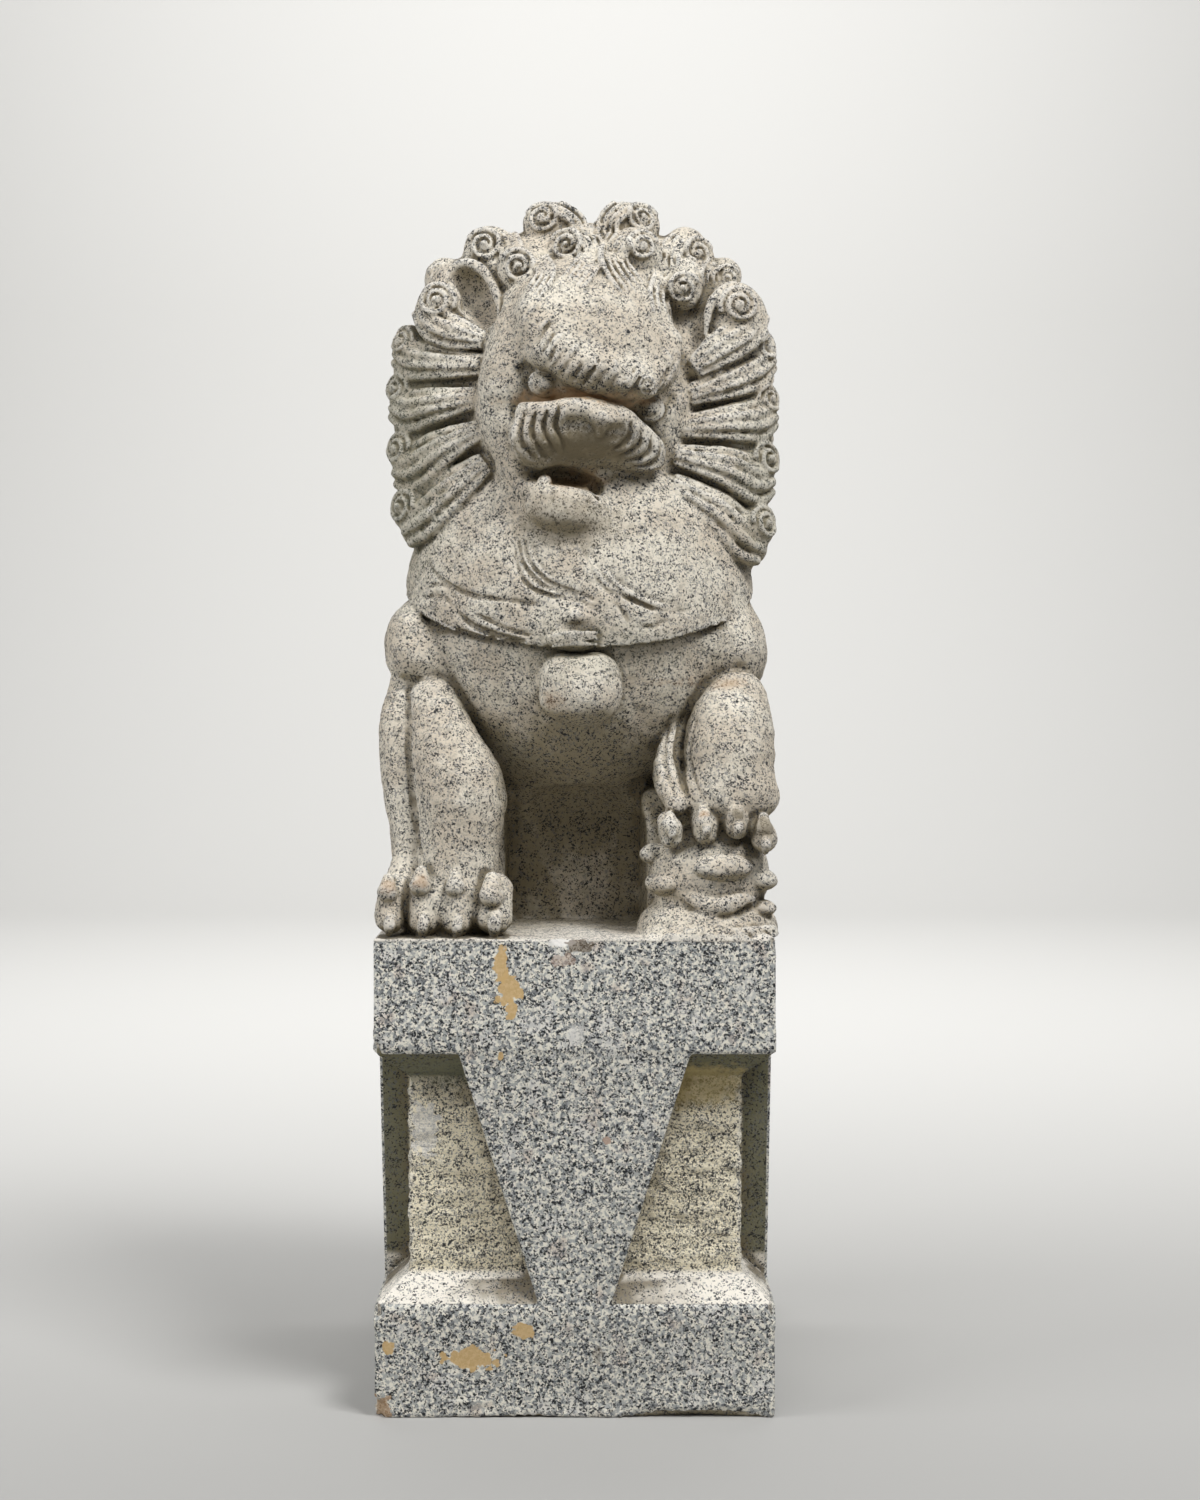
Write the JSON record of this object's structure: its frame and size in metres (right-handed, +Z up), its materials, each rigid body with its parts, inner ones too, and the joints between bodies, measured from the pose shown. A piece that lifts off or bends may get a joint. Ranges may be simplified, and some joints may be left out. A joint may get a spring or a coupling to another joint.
{
  "type": "guardian lion statue",
  "caption": "Seated guardian lion with a curled mane, a bell on its collar and a paw on a ball, carved with its plinth from a single block of speckled granite.",
  "frame": {"origin": "middle of the plinth's underside", "axes": "+Z up, the lion looks along -Y, +X is on the right of someone who stands in front of it"},
  "size_m": [0.2325, 0.2538, 0.6864],
  "materials": {
    "granite": "grey speckled granite, honed on the plinth and tooled on the lion"
  },
  "bodies": {
    "root": {"guardian_lion": "granite"}
  },
  "joints": []
}
